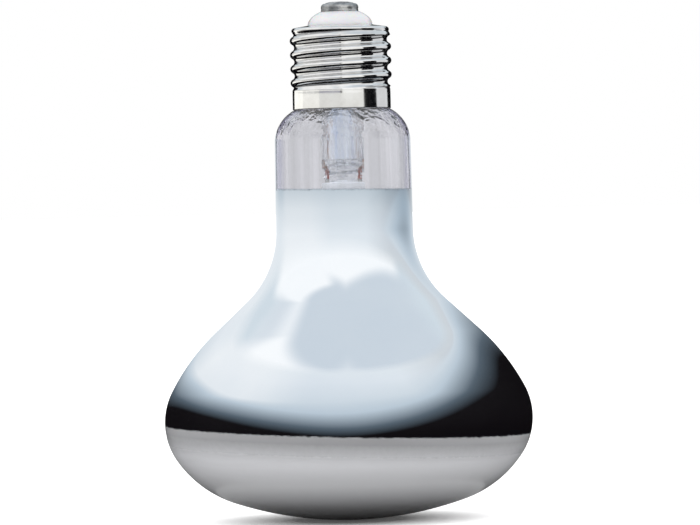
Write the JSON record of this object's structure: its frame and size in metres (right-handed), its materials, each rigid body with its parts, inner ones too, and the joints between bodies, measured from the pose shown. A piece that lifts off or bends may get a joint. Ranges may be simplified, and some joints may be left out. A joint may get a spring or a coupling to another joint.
{
  "type": "mercury vapour reflector lamp",
  "caption": "Mirror-coated reflector lamp with a domed face, a clear glass neck and a round-threaded screw cap, standing face down.",
  "frame": {"origin": "lowest point of the domed face, on the lamp's axis", "axes": "+Z along the lamp's axis from the face to the cap, -Y to the front, +X to the right"},
  "size_m": [0.095, 0.095, 0.1337],
  "materials": {
    "cap_metal": "polished nickel plate on sheet metal",
    "cap_glass": "white opal glass, glossy",
    "contact_metal": "plated, satin",
    "solder": "dull grey, uneven",
    "cement": "matt, sandy",
    "bulb_glass": "clear at the neck, frosted inside at the face",
    "mirror_film": "evaporated mirror, seen through the glass",
    "stem_glass": "clear lead glass with drawn streaks",
    "copper_wire": "bare copper, dulled by heat",
    "seal_wire": "red copper sheath in glass",
    "nickel_wire": "drawn nickel",
    "quartz": "clear fused quartz",
    "tungsten": "dark grey, drawn",
    "foil": "thin bright foil and wire",
    "resistor": "brown coated body",
    "spider_ceramic": "unglazed pressed ceramic",
    "hook_wire": "drawn molybdenum"
  },
  "bodies": {
    "root": {"cap_shell": "cap_metal", "cap_insulator": "cap_glass", "centre_contact": "contact_metal", "contact_solder": "solder", "side_solder": "solder", "capping_cement": "cement", "glass_envelope": "bulb_glass", "mirror_film": "mirror_film", "stem": "stem_glass", "exhaust_tube": "stem_glass", "centre_lead": "copper_wire", "side_lead": "copper_wire", "seal_wires": "seal_wire", "right_post": "nickel_wire", "left_post": "nickel_wire", "arc_tube": "quartz", "upper_electrode": "tungsten", "lower_electrode": "tungsten", "starting_electrode": "tungsten", "sealing_foils": "foil", "pinch_leads": "foil", "upper_strap": "nickel_wire", "lower_strap": "nickel_wire", "upper_link": "nickel_wire", "starting_resistor": "resistor", "spider": "spider_ceramic", "filament_hooks": "hook_wire", "ballast_filament": "tungsten", "post_feed": "nickel_wire", "centre_feed": "nickel_wire"}
  },
  "joints": []
}
